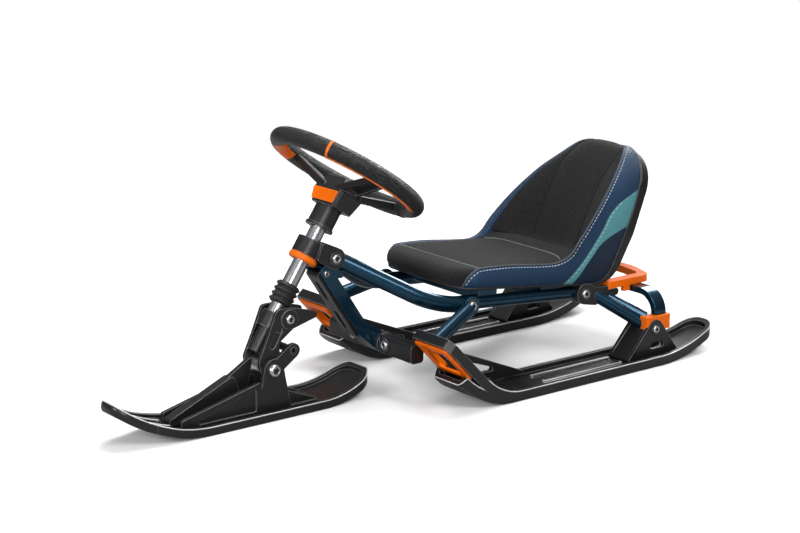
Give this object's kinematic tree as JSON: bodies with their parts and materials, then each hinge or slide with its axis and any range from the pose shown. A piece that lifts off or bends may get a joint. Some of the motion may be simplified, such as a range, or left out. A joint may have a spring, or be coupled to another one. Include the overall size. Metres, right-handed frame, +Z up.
{
  "type": "steerable sled",
  "caption": "Steerable snow sled: wheel column turns and rocks a front ski, tube frame carries a bucket seat, rear skis have foot hoops and a grab handle.",
  "frame": {"origin": "middle of the bounding box on the ground", "axes": "+X forward, +Y to the rider's left, +Z up"},
  "size_m": [1.212, 0.456, 0.4924],
  "materials": {
    "black_plastic": "satin moulded",
    "ski_plastic": "satin moulded",
    "boot_rubber": "matt",
    "grip_rubber": "grained",
    "blue_paint": "metallic gloss",
    "accent_orange": "satin",
    "column_chrome": "polished",
    "bolt_steel": "brushed",
    "seat_fabric": "woven",
    "seat_vinyl": "smooth"
  },
  "bodies": {
    "frame": {"arch_cap_left": "accent_orange", "arch_cap_right": "accent_orange", "arch_left": "blue_paint", "arch_right": "blue_paint", "backrest_pad": "seat_fabric", "crossbar": "black_plastic", "down_strut": "blue_paint", "front_leg_left": "blue_paint", "front_leg_right": "blue_paint", "head_bracket": "black_plastic", "hoop_insert_left": "accent_orange", "hoop_insert_right": "accent_orange", "rail_block_left": "black_plastic", "rail_block_right": "black_plastic", "rail_left": "blue_paint", "rail_right": "blue_paint", "rear_handle": "accent_orange", "rear_leg_left": "blue_paint", "rear_leg_right": "blue_paint", "rear_ski_left": "ski_plastic", "rear_ski_right": "ski_plastic", "rear_stay_left": "blue_paint", "rear_stay_right": "blue_paint", "seat_bracket_front": "blue_paint", "seat_bracket_rear": "blue_paint", "seat_cushion": "seat_fabric", "seat_rail_left": "blue_paint", "seat_rail_right": "blue_paint", "seat_shell": "black_plastic", "ski_bracket_left": "black_plastic", "ski_bracket_right": "black_plastic", "strut_guard": "black_plastic"},
    "steering": {"column_boot": "boot_rubber", "column_tube": "column_chrome", "fork": "black_plastic", "hub_insert": "accent_orange", "hub_sleeve": "black_plastic", "rim_inlay": "accent_orange", "thrust_ring": "accent_orange", "wheel_hub": "black_plastic", "wheel_rim": "grip_rubber"},
    "ski": {"front_ski": "ski_plastic", "ski_pivot_bolt": "bolt_steel", "ski_pivot_spacer": "bolt_steel", "ski_tower": "black_plastic", "tow_tube": "black_plastic"}
  },
  "joints": [
    {"name": "steering_turn", "type": "hinge", "parent": "frame", "child": "steering", "pos_m": [0.264, 0, 0.188], "axis": [-0.5693, 0, 0.8221], "range_deg": [-30, 30]},
    {"name": "ski_pitch", "type": "hinge", "parent": "steering", "child": "ski", "pos_m": [0.299, 0, 0.083], "axis": [0, 1, 0], "range_deg": [-10, 10]}
  ]
}
